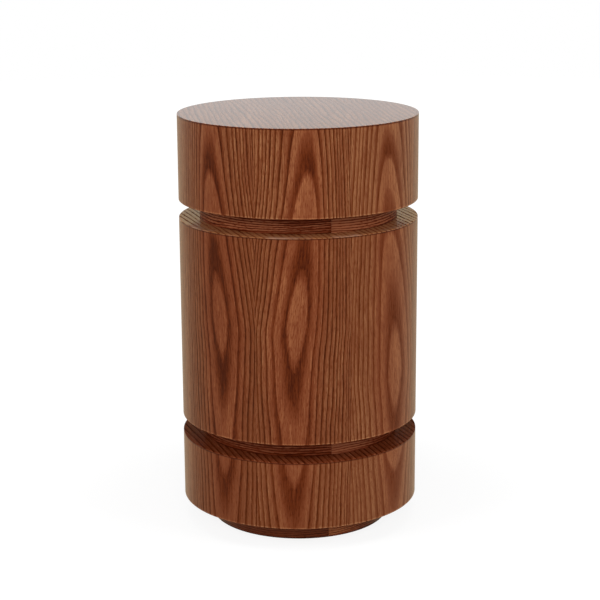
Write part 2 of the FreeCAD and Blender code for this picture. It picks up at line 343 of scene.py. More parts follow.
def stained_ash(
    tree, place, ring, stain, finish, cast, seed=0.0, tone=0.0, tip=0.0, flank=0.5, bold=1.0, wear_and_glint=0.0
):
    """Dresses a ring count as ash: pores that hold the stain, fibre, and a satin lacquer.

    The cast tints the wood. The flank share grows from 0 at the heart of a figure to 1 where its
    rings are narrow. The bold share tells how strongly the grain shows, and the rubbed share how
    far the finish has worn.
    """
    lines = pore_lines(tree, place, ring, seed, tip, flank)
    fibre = grain_noise(tree, place, FIBRE, seed)
    pore = grain_noise(tree, place, PORE, seed, 1.0)
    pores = add(tree, "MapRange", {"Value": pore, "From Min": PORE_START, "From Max": PORE_WHOLE})
    # Stain takes unevenly over a palm's width.
    cloud = grain_noise(tree, place, STAIN_CLOUD, seed)
    kept_lines = add(tree, "Math", [fibre, FIBRE_IN_LINES, BROKEN_LINES], operation="MULTIPLY_ADD")
    broken = add(tree, "Math", [lines, kept_lines], operation="MULTIPLY")
    open_wood = add(tree, "Math", [pores, PORE_SHADE, broken], operation="MULTIPLY_ADD")
    fibred = add(tree, "Math", [fibre, FIBRE_SHADE, open_wood], operation="MULTIPLY_ADD")
    clouded = add(tree, "Math", [cloud, CLOUD_SHADE, fibred], operation="MULTIPLY_ADD")
    # The mean of all that is brought to the ramp's middle stop.
    mean = MEAN_SHADE * finish.contrast
    centred = add(tree, "Math", [clouded, finish.contrast, -mean], operation="MULTIPLY_ADD")
    toned = add(tree, "Math", [tone, MIDDLE_STOP], operation="ADD")
    shade = add(tree, "Math", [centred, bold, toned], operation="MULTIPLY_ADD")
    hue = add(
        tree, "ValToRGB", {"Fac": shade},
        stops=(
            (0.0, stain.light_wood),
            (MIDDLE_STOP, stain.middle_wood),
            (DARK_STOP, stain.dark_wood),
            (1.0, stain.pore),
        ),
    )
    cast_hue = add(tree, "VectorMath", [hue, cast], operation="MULTIPLY")
    # The upper shoulder's rim turns pale in patches: partly worn finish, partly a painted glint of its
    # edge.
    wear_and_glint_hue = add(
        tree, "Mix", {MIX_SHARE: wear_and_glint, MIX_FIRST: cast_hue, MIX_SECOND: stain.wear_and_glint_wood},
        data_type="RGBA",
    )
    # Open pores break up the sheen.
    sheen = add(tree, "Math", [open_wood, -finish.open_pores, FULL_SHEEN], operation="MULTIPLY_ADD")
    kept_sheen = add(tree, "Math", [sheen, 0.0], operation="MAXIMUM")
    sunk = add(
        tree, "Bump", {"Height": open_wood, "Strength": finish.relief, "Distance": RELIEF_DEPTH},
        invert=True,
    )
    shader = add(
        tree, "BsdfPrincipled",
        {
            "Base Color": wear_and_glint_hue.outputs[MIXED], "Roughness": finish.roughness, "IOR": finish.ior,
            "Specular IOR Level": kept_sheen, "Normal": sunk,
        },
    )
    add(tree, "OutputMaterial", {"Surface": shader})


def rim_stain_and_painted_light(tree, tone, finish):
    """Adds to a tone along a piece's rims, where stain has gathered or the finish is rubbed."""
    rims = add(tree, "UVMap", uv_map="rims")
    parts = add(tree, "SeparateXYZ", [rims])
    upper = (parts.outputs["Y"], finish.upper_rim, finish.upper_rim_tone)
    lower = (parts.outputs["X"], finish.lower_rim, finish.lower_rim_tone)
    total = tone
    for away, width, darker in (upper, lower):
        rim = add(tree, "MapRange", {"Value": away, "From Max": width, "To Min": darker, "To Max": 0.0})
        total = add(tree, "Math", [total, rim], operation="ADD")
    return total


def side_leaf_ash(stain, finish, grain):
    """Ash, sliced across the crown and stained brown: tongues of dark pores down each leaf."""
    material, tree = blank("stained_ash_crown_cut_leaves")
    place = add(tree, "UVMap", uv_map="figure")
    leaf = {name: add(tree, "Attribute", attribute_name=name).outputs["Fac"] for name in LEAF_VALUES}
    seed = add(tree, "Math", [leaf["leaf"], SEED_STEP], operation="MULTIPLY")
    tone = rim_stain_and_painted_light(tree, leaf["tone"], finish)
    ring, tip = crown_cut_rings(tree, place, leaf, seed, grain)
    flank = add(
        tree, "MapRange", {"Value": ring, "From Min": grain.flank_start, "From Max": grain.flank_whole}
    )
    # Wood near the heart is redder.
    mixed = add(
        tree, "Mix", {MIX_SHARE: flank, MIX_FIRST: finish.cast, MIX_SECOND: WHITE}, data_type="RGBA"
    )
    cast = mixed.outputs[MIXED]
    stained_ash(tree, place, ring, stain, finish, cast, seed, tone, tip, flank, leaf["bold"])
    return material


def wear_and_glint_rim(tree, place, radius, reach, wear_and_glint):
    """Tells how far the finish has worn: in patches along the rim of a round sheet."""
    flat = add(tree, "Mapping", {"Vector": place, "Scale": (1.0, 1.0, 0.0)})
    away = add(tree, "VectorMath", [flat], operation="LENGTH")
    rim = add(
        tree, "MapRange", {"Value": away.outputs["Value"], "From Min": radius - reach, "From Max": radius},
        interpolation_type="SMOOTHSTEP",
    )
    patch = grain_noise(tree, flat, WEAR_AND_GLINT_PATCH, detail=3.0)
    patchy = add(tree, "MapRange", {"Value": patch, "From Min": WEAR_AND_GLINT_START, "From Max": WEAR_AND_GLINT_WHOLE})
    worn = add(tree, "Math", [rim, patchy], operation="MULTIPLY")
    return add(tree, "Math", [worn, wear_and_glint], operation="MULTIPLY")


def face_ash(stain, finish, name, grain_azimuth, radius, wear_and_glint):
    """Ash, sliced along the radius and stained brown: straight grain across a drum's face."""
    material, tree = blank(name)
    place = add(tree, "TexCoord").outputs["Object"]
    turned = add(tree, "Mapping", {"Vector": place, "Rotation": (0.0, 0.0, -grain_azimuth)})
    ring = straight_rings(tree, turned, stain.face_ring_width, finish.sway)
    worn = wear_and_glint_rim(tree, place, radius, stain.wear_and_glint_reach, wear_and_glint)
    stained_ash(tree, turned, ring, stain, finish, finish.cast[:3], tone=finish.tone, wear_and_glint=worn)
    return material


def strip_ash(stain, finish, name, around):
    """Ash, sliced along the radius and stained brown: grain that runs round the neck or plinth.

    The strip's whole length is given in metres.
    """
    material, tree = blank(name)
    place = add(tree, "UVMap", uv_map="strip")
    turned = add(tree, "Mapping", {"Vector": place, "Rotation": (0.0, 0.0, QUARTER_TURN)})
    parts = add(tree, "SeparateXYZ", [place])
    # The wood has another tone where the strip starts, and fades to its own within a palm's width.
    start = add(
        tree, "MapRange",
        {
            "Value": parts.outputs["X"], "From Max": stain.seam_reach,
            "To Min": finish.tone + finish.start_tone, "To Max": finish.tone,
        },
        interpolation_type="SMOOTHSTEP",
    )
    # So has its end, where the change is over half-way to the seam.
    end = add(
        tree, "MapRange",
        {
            "Value": parts.outputs["X"], "From Min": around - stain.seam_reach,
            "From Max": around - stain.seam_reach / 2, "To Max": finish.end_tone,
        },
        interpolation_type="SMOOTHSTEP",
    )
    along = add(tree, "Math", [start, end], operation="ADD")
    # Painted shade under the overhang and in the corner below.
    tone = rim_stain_and_painted_light(tree, along, finish)
    ring = straight_rings(tree, turned, stain.strip_ring_width, finish.sway)
    stained_ash(tree, turned, ring, stain, finish, finish.cast[:3], tone=tone)
    return material


# --- finishes of the hidden parts ---

# Where the two colours of a plain finish stand on its ramp, and how far its patches dull and
# roughen it.
BASE_STOP = 0.3
SHADE_STOP = 0.7
PATCH_DULLING = 0.15
PATCH_RELIEF = 0.3


def plain_finish(name, base, shade, patch, roughness, metallic=0.0):
    """A material of two colours, mixed in patches sized in millimetres along X, Y and Z."""
    material, tree = blank(name)
    place = add(tree, "TexCoord").outputs["Object"]
    scale = [MM_PER_METRE / size for size in patch]
    stretched = add(tree, "Mapping", {"Vector": place, "Scale": scale})
    mottle = add(
        tree, "TexNoise", {"Vector": stretched, "Scale": 1.0, "Detail": 3.0, "Roughness": NOISE_ROUGHNESS}
    )
    colours = ((BASE_STOP, linear(base)), (SHADE_STOP, linear(shade)))
    hue = add(tree, "ValToRGB", {"Fac": mottle}, colours)
    dull = add(tree, "Math", [mottle, PATCH_DULLING, roughness], operation="MULTIPLY_ADD")
    relief = add(tree, "Bump", {"Height": mottle, "Strength": PATCH_RELIEF, "Distance": RELIEF_DEPTH})
    shader = add(
        tree, "BsdfPrincipled",
        {"Base Color": hue, "Roughness": dull, "Metallic": metallic, "Normal": relief},
    )
    add(tree, "OutputMaterial", {"Surface": shader})
    return material


# For each material inside the table: its finish's name, two colours, patches, roughness and metal.
HIDDEN_FINISHES = {
    # Medium-density fibreboard, sawn and sanded: tan felted fibre with small flecks.
    "fibreboard": ("fibreboard_sanded", "#A78860", "#8C6D48", (1.43, 1.43, 1.43), 0.8),
    # Poplar bending plywood, rotary cut: pale yellow with long upright streaks.
    "bending_plywood": ("poplar_plywood_raw", "#CDB083", "#B08E5E", (3.85, 3.85, 111.0), 0.65),
    # Pine, planed: cream wood with upright grain lines some 3 mm apart.
    "softwood": ("pine_planed", "#DDBE8A", "#BE9257", (3.03, 3.03, 125.0), 0.5),
    # Beech, turned to dowel rod: pinkish tan with short flecks along the rod.
    "beech": ("beech_turned", "#CFA376", "#B4825A", (1.11, 1.11, 8.33), 0.5),
    # Steel, rolled and zinc plated: a bright grey with faint cloudy patches.
    "zinc_plated_steel": ("steel_zinc_plated", "#C6CACD", "#9CA1A6", (4.55, 4.55, 4.55), 0.25, 1.0),
}
# Nylon, moulded: milky white with a fine pebble that dulls its sheen.
GLIDE_FINISH = ("nylon_moulded", "#E3DFD4", "#D2CDC0", (1.11, 1.11, 1.11), 0.4)


# --- shaping ---


class Ring:
    """The inner and outer radius of a round CAD node, and its lowest and highest level."""

    def __init__(self, node):
        radii = [vertex.co.xy.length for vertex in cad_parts[node].data.vertices]
        low_corner, high_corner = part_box(node)
        self.inner = min(radii)
        self.outer = min(*high_corner.xy, *-low_corner.xy)
        self.low = low_corner.z
        self.high = high_corner.z


def bent_slip(mesh, ring, start, sweep, steps, cuts):
    """Bends an upright slip of veneer round the table's axis, from a starting azimuth."""
    slip = bmesh.ops.create_grid(mesh, x_segments=1, y_segments=cuts, size=0.5)["verts"]
    size = Matrix.Diagonal((ring.outer - ring.inner, ring.high - ring.low, 1.0, 1.0))
    stand = Matrix.Rotation(QUARTER_TURN, 4, "X")
    middle = ((ring.inner + ring.outer) / 2, 0.0, (ring.low + ring.high) / 2)
    swing = Matrix.Rotation(start - QUARTER_TURN, 4, "Z")
    place = swing @ Matrix.Translation(middle) @ stand @ size
    bmesh.ops.transform(mesh, matrix=place, verts=slip)
    edges = {edge for vertex in slip for edge in vertex.link_edges}
    faces = {face for vertex in slip for face in vertex.link_faces}
    bmesh.ops.spin(
        mesh, geom=[*slip, *edges, *faces], cent=(0.0, 0.0, 0.0), axis=(0.0, 0.0, 1.0), angle=sweep,
        steps=steps,
    )


def azimuth(point):
    """The azimuth of a point, from 0 at the front up to a full turn."""
    return math.atan2(point.x, -point.y) % FULL_TURN


def turned_from(point, middle):
    """How far round a point lies from an azimuth, up to half a turn either way."""
    return (azimuth(point) - middle + math.pi) % FULL_TURN - math.pi


def tidy(mesh):
    """Merges doubles, turns the faces outwards, and shades only the curved walls smooth."""
    bmesh.ops.remove_doubles(mesh, verts=mesh.verts[:], dist=MERGE_DISTANCE)
    bmesh.ops.recalc_face_normals(mesh, faces=mesh.faces[:])
    for face in mesh.faces:
        face.smooth = abs(face.normal.z) < LEVEL_FACE
    for edge in mesh.edges:
        edge.smooth = edge.calc_face_angle(0.0) < CREASE_ANGLE


def made_object(mesh, name, material):
    """Makes a finished bmesh an object of the scene."""
    data = bpy.data.meshes.new(name)
    mesh.to_mesh(data)
    mesh.free()
    data.materials.append(material)
    made = bpy.data.objects.new(name, data)
    bpy.context.scene.collection.objects.link(made)
    return made


def settle(mesh, name, material, slot, *nodes):
    """Makes a finished bmesh a piece of the table, in place of its CAD nodes."""
    piece = made_object(mesh, name, material)
    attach(piece, BODY)
    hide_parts(*nodes)


def ease(way):
    """A smooth step from 0 to 1."""
    held = min(max(way, 0.0), 1.0)
    return held * held * (3 - 2 * held)


# --- settings ---


class StainSettings(bpy.types.PropertyGroup):
    """Colours of the stained ash."""

    light_wood: colour("Light wood", "Dense wood late in a ring", "#966541")
    middle_wood: colour("Middle wood", "The general colour", "#6F3B20")
    dark_wood: colour("Dark wood", "Wood full of pores", "#562408")
    pore: colour("Pore", "Stain held in the pores", "#3E1706")
    # Pale wood along the upper shoulder's rim: partly worn finish, partly a painted glint of its edge.
    wear_and_glint_wood: colour("Rubbed wood", "Wood whose finish has worn", "#A3816C")
    wear_and_glint_reach: length("Rubbed reach", "How far in from a rim the finish has worn", 0.018)
    wear_and_glint_share: share("Rubbed share", "How far the upper shoulder's rim has worn", 0.6)
    top_grain_azimuth: angle("Top grain", "Which way the grain of the top runs", 8.0)
    face_grain_azimuth: angle("Face grain", "Which way the grain of the faces runs", 20.0)
    face_ring_width: length("Face rings", "Width of a ring across a face", 0.0085)
    strip_ring_width: length("Strip rings", "Width of a ring across a strip", 0.0036)
    seam_reach: length("Seam reach", "How far from a strip's seam its tone differs", 0.09)


# What a finish may hold: the kind of setting, its name and its description.
FINISH_FIELDS = {
    "cast": (colour, "Cast", "What the stain is tinted with, near a heart or all over"),
    "contrast": (number, "Contrast", "How strongly the grain shows"),
    "ior": (number, "IOR", "Refraction of the lacquer"),
    "roughness": (share, "Roughness", "Roughness of the lacquer"),
    "open_pores": (share, "Open pores", "How much the pores break the sheen"),
    "relief": (share, "Relief", "How deep the pores look"),
    "tone": (number, "Tone", "How much darker than the leaves"),
    "sway": (length, "Sway", "How far the grain sways across a sheet"),
    "start_tone": (number, "Start tone", "How much darker the strip's start is"),
    "end_tone": (number, "End tone", "How much darker the strip's end is"),
    "upper_rim": (length, "Upper rim", "Width of the changed wood along the upper rim"),
    "upper_rim_tone": (number, "Upper rim tone", "How much darker the upper rim is"),
    "lower_rim": (length, "Lower rim", "Width of the changed wood along the lower rim"),
    "lower_rim_tone": (number, "Lower rim tone", "How much darker the lower rim is"),
}
LACQUERED = {
    "cast": "#FFF7F3", "contrast": 0.75, "ior": 1.25, "roughness": 0.28, "open_pores": 0.3, "relief": 0.3
}
STRAIGHT_GRAINED = {**LACQUERED, "tone": 0.0, "sway": 0.02}
# Painted shade under the overhang above a strip, and in the corner below it: the rims are darker.
STRIP = {
    **STRAIGHT_GRAINED,
    "start_tone": -0.6,
    "end_tone": 0.0,
    "upper_rim": 0.014,
    "upper_rim_tone": 0.5,
    "lower_rim": 0.003,
    "lower_rim_tone": 0.6,
}


def finish_group(name, about, usual, **own):
    """A group of settings for one kind of veneered piece: the usual values and its own."""
    fields = {}
    for field, value in {**usual, **own}.items():
        setting, label, description = FINISH_FIELDS[field]
        fields[field] = setting(label, description, value)
    return type(name, (bpy.types.PropertyGroup,), {"__doc__": about, "__annotations__": fields})


FINISHES = (
    # Stain gathers along a leaf's upper rim, and its lower rim is paler: partly wear, partly a painted
    # highlight along its edge.
    finish_group(
        "leaf_finish", "Finish of the side leaves", LACQUERED, cast="#FFEFE8",
        upper_rim=0.0022, upper_rim_tone=0.9, lower_rim=0.0022, lower_rim_tone=-0.3,
    ),
    # The middle drum's upper face is painted paler than the other face sheets: painted light in the upper
    # groove.
    finish_group(
        "top_finish", "Finish of the top's sheet, whose pores are filled", STRAIGHT_GRAINED,
        contrast=0.9, sway=0.032, roughness=0.12, open_pores=0.1, relief=0.0,
    ),
    finish_group(
        "shoulder_finish", "Finish of the middle drum's upper face, which took less stain",
        STRAIGHT_GRAINED, tone=-0.36, ior=1.34, roughness=0.12, open_pores=0.75, relief=0.05,
    ),
    # The other face sheets, the lower shoulder among them, are painted darker: painted shade in the lower
    # groove.
    finish_group(
        "face_finish", "Finish of the other face sheets", STRAIGHT_GRAINED, cast="#FFEBF6",
        tone=0.12, ior=1.15, roughness=0.2, open_pores=0.45, relief=0.05,
    ),
    # The lower neck's strip is painted darker than the upper neck's, and the plinth's darker still: painted
    # shade in the lower groove and under the base drum. The upper neck's strip is painted paler: painted
    # light.
    finish_group(
        "lower_neck_finish", "Finish of the strip round the lower neck", STRIP, cast="#FFE0EC",
        tone=0.05, contrast=1.2, ior=1.1,
    ),
    finish_group(
        "upper_neck_finish", "Finish of the strip round the upper neck", STRIP, cast="#FFE3EC",
        tone=-0.16, start_tone=-0.36, end_tone=0.19, contrast=1.45, ior=1.1,
    ),
    finish_group(
        "plinth_finish", "Finish of the strip round the plinth", STRIP, cast="#FFDFD0", tone=0.3
    ),
)


class GrainSettings(bpy.types.PropertyGroup):
    """Figure of the leaves. A level grows with the distance in millimetres from the heart."""

    heart_level: number("Heart level", "Height of the figure's heart, in millimetres", 335.0)
    drift: number("Drift", "How far the figure sways, in millimetres", 8.0)
    wave: number("Wave", "How far a ring's line sways, in millimetres", 1.6)
    up_power: number("Up power", "How the level grows above the heart", 1.35)
    up_rate: number("Up rate", "How fast the level grows above the heart", 0.957)
    down_power: number("Down power", "How the level grows below the heart", 1.107)
    down_rate: number("Down rate", "How fast the level grows below the heart", 3.37)
    lopsided: number("Lopsided", "How much closer the rings are on one side", 1.15)
    far_rate: number("Far rate", "How close the rings are near the leaf's far edge", 0.87)
    far_start: number("Far start", "Where the rings open out, in millimetres", 10.75)
    far_blend: number("Far blend", "How softly the rings open out, in millimetres", 4.0)
    side_power: number("Side power", "How the level grows across the leaf", 2.06)
    tip_start: number("Tip start", "Where the tips are fully sharp, in millimetres", 60.0)
    tip_rate: number("Tip rate", "How sharp the tips are", 7.0)
    fullness: number("Fullness", "How steep the sides of the figure stand", 1.2)
    crowding: number("Crowding", "How the rings crowd towards the flanks", 1.1165)
    first_ring: number("First ring", "Level of the first whole ring", 2594.0)
    heart_ring: number("Heart ring", "Share of a ring that lies inside the island", 0.35)
    uneven_years: share("Uneven years", "How much the rings differ in width", 0.15)
    flank_start: number("Flank start", "Ring from which the rings turn narrow", 1.0)
    flank_whole: number("Flank whole", "Ring from which all rings are narrow", 3.0)


class LeafSettings(bpy.types.PropertyGroup):
    """How the leaves of veneer are laid round a drum, counted from the front towards +X."""

    count: IntProperty(name="Leaves", description="Leaves round each drum", default=8, min=2)
    first_joint: angle("First joint", "Azimuth of the first leaf's left edge", -20.5)
    joint_gap: length("Joint gap", "Hairline between two leaves", 0.0001)
    heart: length("Heart", "From a leaf's edge to the heart of its figure", 0.0565)
    wander: length("Wander", "How far the heart moves across on its way up", 0.0245)
    wander_start: length("Wander start", "Level where the heart starts to move", 0.25)
    wander_end: length("Wander end", "Level where the heart stops moving", 0.57)
    slide_start: length("Slide start", "Level up to which all leaves match", 0.09)
    slide_end: length("Slide end", "Level from which a leaf's slide is whole", 0.19)
    slide: row(
        "Slide", "How far each leaf's figure is pushed down, in metres",
        (-0.005, 0.083, 0.04, -0.03, 0.02, 0.06, 0.03, -0.0035),
    )
    shift: row(
        "Shift", "How far the heart of each leaf lies further from its edge, in metres",
        (0.0, -0.002, 0.004, 0.0, -0.005, 0.003, -0.002, -0.001),
    )
    depth: row(
        "Depth", "How much deeper in the log each leaf was cut, in rings",
        (0.0, 0.013, 0.1, 0.2, 0.15, 0.05, 0.0, 0.04),
    )
    tone: row(
        "Tone", "How much darker each leaf took the stain",
        (0.06, -0.03, 0.05, 0.0, 0.03, -0.03, 0.02, 0.12),
    )
    bold: row(
        "Bold", "How strongly the grain of each leaf shows, as a share",
        (1.0, 0.72, 0.9, 1.0, 0.85, 1.0, 0.9, 1.0),
    )
    narrow: row(
        "Narrow", "How close the rings stand across each leaf, as a share",
        (1.0, 0.85, 1.0, 0.95, 1.0, 0.9, 1.0, 1.0),
    )
    drum_tone: row("Drum tone", "How much darker each drum took the stain", (-0.015, 0.025, -0.03))
    drum_bold: row("Drum bold", "How strongly the grain of each drum shows", (0.76, 1.0, 1.0))
    stretch: row("Stretch", "How fast the figure closes up each drum", (0.97, 1.0, 0.995))
    steps: face_count("Steps", "Faces across each leaf", 24, 3)
    cuts: face_count("Cuts", "Faces up each leaf", 12, 1)


class StripSettings(bpy.types.PropertyGroup):
    """How the strips of veneer are laid round the necks and the plinth."""

    seam: angle("Seam", "Azimuth of the butt seam", 18.5)
    seam_gap: length("Seam gap", "Hairline at the seam", 0.0002)
    steps: face_count("Steps", "Faces round each strip", 180, 12)


class TopSettings(bpy.types.PropertyGroup):
    """Shape of the top's sheet, whose rim was eased by hand."""

    top_rim: length("Top rim", "Rounding of the top's rim", 0.0004)
    segments: face_count("Segments", "Faces across a rounding", 3, 1)
    steps: face_count("Steps", "Faces round the top", 192, 12)


class StageSettings(bpy.types.PropertyGroup):
    """Floor, light and camera."""

    floor_radius: length("Floor", "Radius of the floor", 6.0)
    floor_colour: colour("Floor colour", "Pale matt floor", "#E6E6E6")
    shadow_share: share("Shadow share", "How far the floor shows the light that falls on it", 0.2)
    shadow_start: length("Shadow start", "How far out the floor's shadow starts to fade", 0.25)
    shadow_end: length("Shadow end", "How far out the floor's shadow has faded", 0.7)
    floor_steps: face_count("Floor steps", "Corners of the floor", 96, 12)
    floor_glow: number("Floor glow", "How bright the floor looks, where 1 is white", 1.08)
    room_light: number("Room light", "Strength of the light from all round", 0.3)
    reflected_floor: colour("Reflected floor", "Warm white that the lacquer shows", "#F2E0BE")
    sweep_full: angle("Sweep full", "Up to where the sweep is white in reflections", 9.3)
    sweep_end: angle("Sweep end", "From where reflections show the dim room", 15.0)
    sweep_edge: colour("Sweep edge", "Warm light where the sweep ends", "#D0BA8A")
    edge_start: share("Edge start", "Where the warm light starts, between the sweep's ends", 0.1)
    edge_end: share("Edge end", "Where the warm light ends, between the sweep's ends", 0.6)
    dim_room: colour("Dim room", "Surroundings above the sweep in reflections", "#5A4632")
    lens: FloatProperty(
        name="Lens", description="Focal length on a 36 mm sensor", default=101.4, min=1.0,
        subtype="DISTANCE_CAMERA",
    )
    camera_place: FloatVectorProperty(
        name="Camera", description="Where the camera stands", default=(0.0017, -2.4813, 0.9491), size=3,
        subtype="TRANSLATION", unit="LENGTH",
    )
    camera_pitch: angle("Pitch", "How far the camera looks down", 13.917)
    camera_roll: angle("Roll", "How far the camera leans", -0.325)


# --- operators ---


def lay_figure(mesh, ring, leaves, drum):
    """Lays each leaf's figure on it: metres from the figure's heart in U, and up the table in V.

    Every second leaf is turned over like a page, so that the figures mirror at each joint.
    """
    figure = mesh.loops.layers.uv.new("figure")
    layers = {name: mesh.faces.layers.float.new(name) for name in LEAF_VALUES}
    sweep = FULL_TURN / leaves.count
    width = ring.outer * sweep
    wander_span = leaves.wander_end - leaves.wander_start
    slide_span = leaves.slide_end - leaves.slide_start
    for face in mesh.faces:
        turn = (azimuth(face.calc_center_median()) - leaves.first_joint) % FULL_TURN
        leaf = int(turn / sweep)
        values = {
            "leaf": leaf, "depth": leaves.depth[leaf], "tone": leaves.tone[leaf] + leaves.drum_tone[drum],
            "bold": leaves.bold[leaf] * leaves.drum_bold[drum], "stretch": leaves.stretch[drum],
            "narrow": leaves.narrow[leaf],
        }
        for name, layer in layers.items():
            face[layer] = values[name]
        middle = leaves.first_joint + (leaf + 0.5) * sweep
        heart = leaves.heart + leaves.shift[leaf]
        side = 1.0 if leaf % 2 == 0 else -1.0
        for loop in face.loops:
            point = loop.vert.co
            across = side * ring.outer * turned_from(point, middle) + width / 2
            # The heart wanders on its way up, and the grain stays upright along the far edge.
            held = ease((width - across) / (width - heart))
            wander = held * leaves.wander * ease((point.z - leaves.wander_start) / wander_span)
            slide = leaves.slide[leaf] * ease((point.z - leaves.slide_start) / slide_span)
            loop[figure].uv = (across - heart - wander, point.z + slide)


def lay_rims(mesh, ring):
    """Stores the distances from a piece's lower and upper rim as a second map."""
    rims = mesh.loops.layers.uv.new("rims")
    for face in mesh.faces:
        for loop in face.loops:
            loop[rims].uv = (loop.vert.co.z - ring.low, ring.high - loop.vert.co.z)


class TABLE_OT_side_leaves(bpy.types.Operator):
    """Makes the book-matched leaves of veneer round the three drums"""

    bl_idname = "drum_table.side_leaves"
    bl_label = "Side leaves"

    def execute(self, context):
        scene = context.scene
        leaves = scene.drum_table_leaves
        material = side_leaf_ash(
            scene.drum_table_stain, scene.drum_table_leaf_finish, scene.drum_table_grain
        )
        sweep = FULL_TURN / leaves.count
        for drum, name in enumerate(DRUMS):
            node = f"{name}_side_veneer"
            ring = Ring(node)
            hairline = leaves.joint_gap / ring.outer
            mesh = bmesh.new()
            for leaf in range(leaves.count):
                start = leaves.first_joint + leaf * sweep + hairline / 2
                bent_slip(mesh, ring, start, sweep - hairline, leaves.steps, leaves.cuts)
            tidy(mesh)
            lay_figure(mesh, ring, leaves, drum)
            lay_rims(mesh, ring)
            settle(mesh, f"{name}_leaves", material, "side_veneer", node)
        return {"FINISHED"}


class TABLE_OT_strips(bpy.types.Operator):
    """Makes the strips of veneer round the necks and the plinth"""

    bl_idname = "drum_table.strips"
    bl_label = "Neck and plinth strips"

    def execute(self, context):
        scene = context.scene
        strips = scene.drum_table_strips
        stain = scene.drum_table_stain
        jobs = (
            ("lower_neck", scene.drum_table_lower_neck_finish, "band_veneer"),
            ("upper_neck", scene.drum_table_upper_neck_finish, "band_veneer"),
            ("plinth", scene.drum_table_plinth_finish, "plinth_veneer"),
        )
        for name, finish, slot in jobs:
            node = f"{name}_band"
            ring = Ring(node)
            around = FULL_TURN * ring.outer
            material = strip_ash(stain, finish, f"stained_ash_{name}_strip", around)
            hairline = strips.seam_gap / ring.outer
            start = strips.seam + hairline / 2
            mesh = bmesh.new()
            bent_slip(mesh, ring, start, FULL_TURN - hairline, strips.steps, 1)
            tidy(mesh)
            layer = mesh.loops.layers.uv.new("strip")
            for face in mesh.faces:
                middle = azimuth(face.calc_center_median())
                for loop in face.loops:
                    turn = (middle - strips.seam) % FULL_TURN + turned_from(loop.vert.co, middle)
                    loop[layer].uv = (ring.outer * turn, loop.vert.co.z)
            lay_rims(mesh, ring)
            settle(mesh, f"{name}_strip", material, slot, node)
        return {"FINISHED"}


class TABLE_OT_faces(bpy.types.Operator):
    """Makes the top's sheet of veneer and finishes the sheets on the other faces"""

    bl_idname = "drum_table.faces"
    bl_label = "Face sheets"

    def execute(self, context):
        scene = context.scene
        shape = scene.drum_table_top
        stain = scene.drum_table_stain
        node = "top_drum_top_veneer"
        ring = Ring(node)
        face_grain = stain.face_grain_azimuth
        # Only the upper shoulder gets pale rim patches, partly wear and partly a painted glint.
        jobs = (
            ("top_sheet", scene.drum_table_top_finish, stain.top_grain_azimuth, 0.0),
            ("upper_shoulder", scene.drum_table_shoulder_finish, face_grain, stain.wear_and_glint_share),
            ("face_sheets", scene.drum_table_face_finish, face_grain, 0.0),
        )
        top, shoulder, faces = (
            face_ash(stain, finish, f"stained_ash_{name}", bearing, ring.outer, wear_and_glint)
            for name, finish, bearing, wear_and_glint in jobs
        )
        mesh = bmesh.new()
        rim = bmesh.ops.create_circle(mesh, cap_ends=True, segments=shape.steps, radius=ring.outer)["verts"]
        bmesh.ops.translate(mesh, vec=(0.0, 0.0, ring.low), verts=rim)
        raised = bmesh.ops.extrude_face_region(mesh, geom=mesh.faces[:])["geom"]
        lifted = [item for item in raised if isinstance(item, bmesh.types.BMVert)]
        bmesh.ops.translate(mesh, vec=(0.0, 0.0, ring.high - ring.low), verts=lifted)
        top_rim = [edge for edge in mesh.edges if all(vert in lifted for vert in edge.verts)]
        bmesh.ops.bevel(
            mesh, geom=top_rim, offset=shape.top_rim, offset_type="OFFSET", affect="EDGES",
            segments=shape.segments, profile=0.5, material=-1,
        )
        tidy(mesh)
        settle(mesh, "top_sheet", top, "face_veneer", node)
        for name, cad_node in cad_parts.items():
            if name.endswith(("_top_veneer", "_bottom_veneer")) and name != node:
                cad_node.material_slots[0].material = faces
        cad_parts["middle_drum_top_veneer"].material_slots[0].material = shoulder
        return {"FINISHED"}


class TABLE_OT_glides(bpy.types.Operator):
    """Finishes the moulded glides that the plinth stands on"""

    bl_idname = "drum_table.glides"
    bl_label = "Glides"

    def execute(self, context):
        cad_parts["glides"].material_slots[0].material = plain_finish(*GLIDE_FINISH)
        return {"FINISHED"}


class TABLE_OT_hidden_parts(bpy.types.Operator):
    """Finishes the boards, skins, posts, dowels and metal parts inside the table"""

    bl_idname = "drum_table.hidden_parts"
    bl_label = "Hidden parts"

    def execute(self, context):
        finishes = {slot: plain_finish(*look) for slot, look in HIDDEN_FINISHES.items()}
        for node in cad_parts.values():
            for slot in node.material_slots:
                if slot.name in finishes:
                    slot.material = finishes[slot.name]
        return {"FINISHED"}


def mirrored_share(tree, ray):
    """Is 1 for what gloss or glass shows."""
    return add(
        tree, "Math", [ray.outputs["Is Glossy Ray"], ray.outputs["Is Transmission Ray"]], operation="ADD"
    )


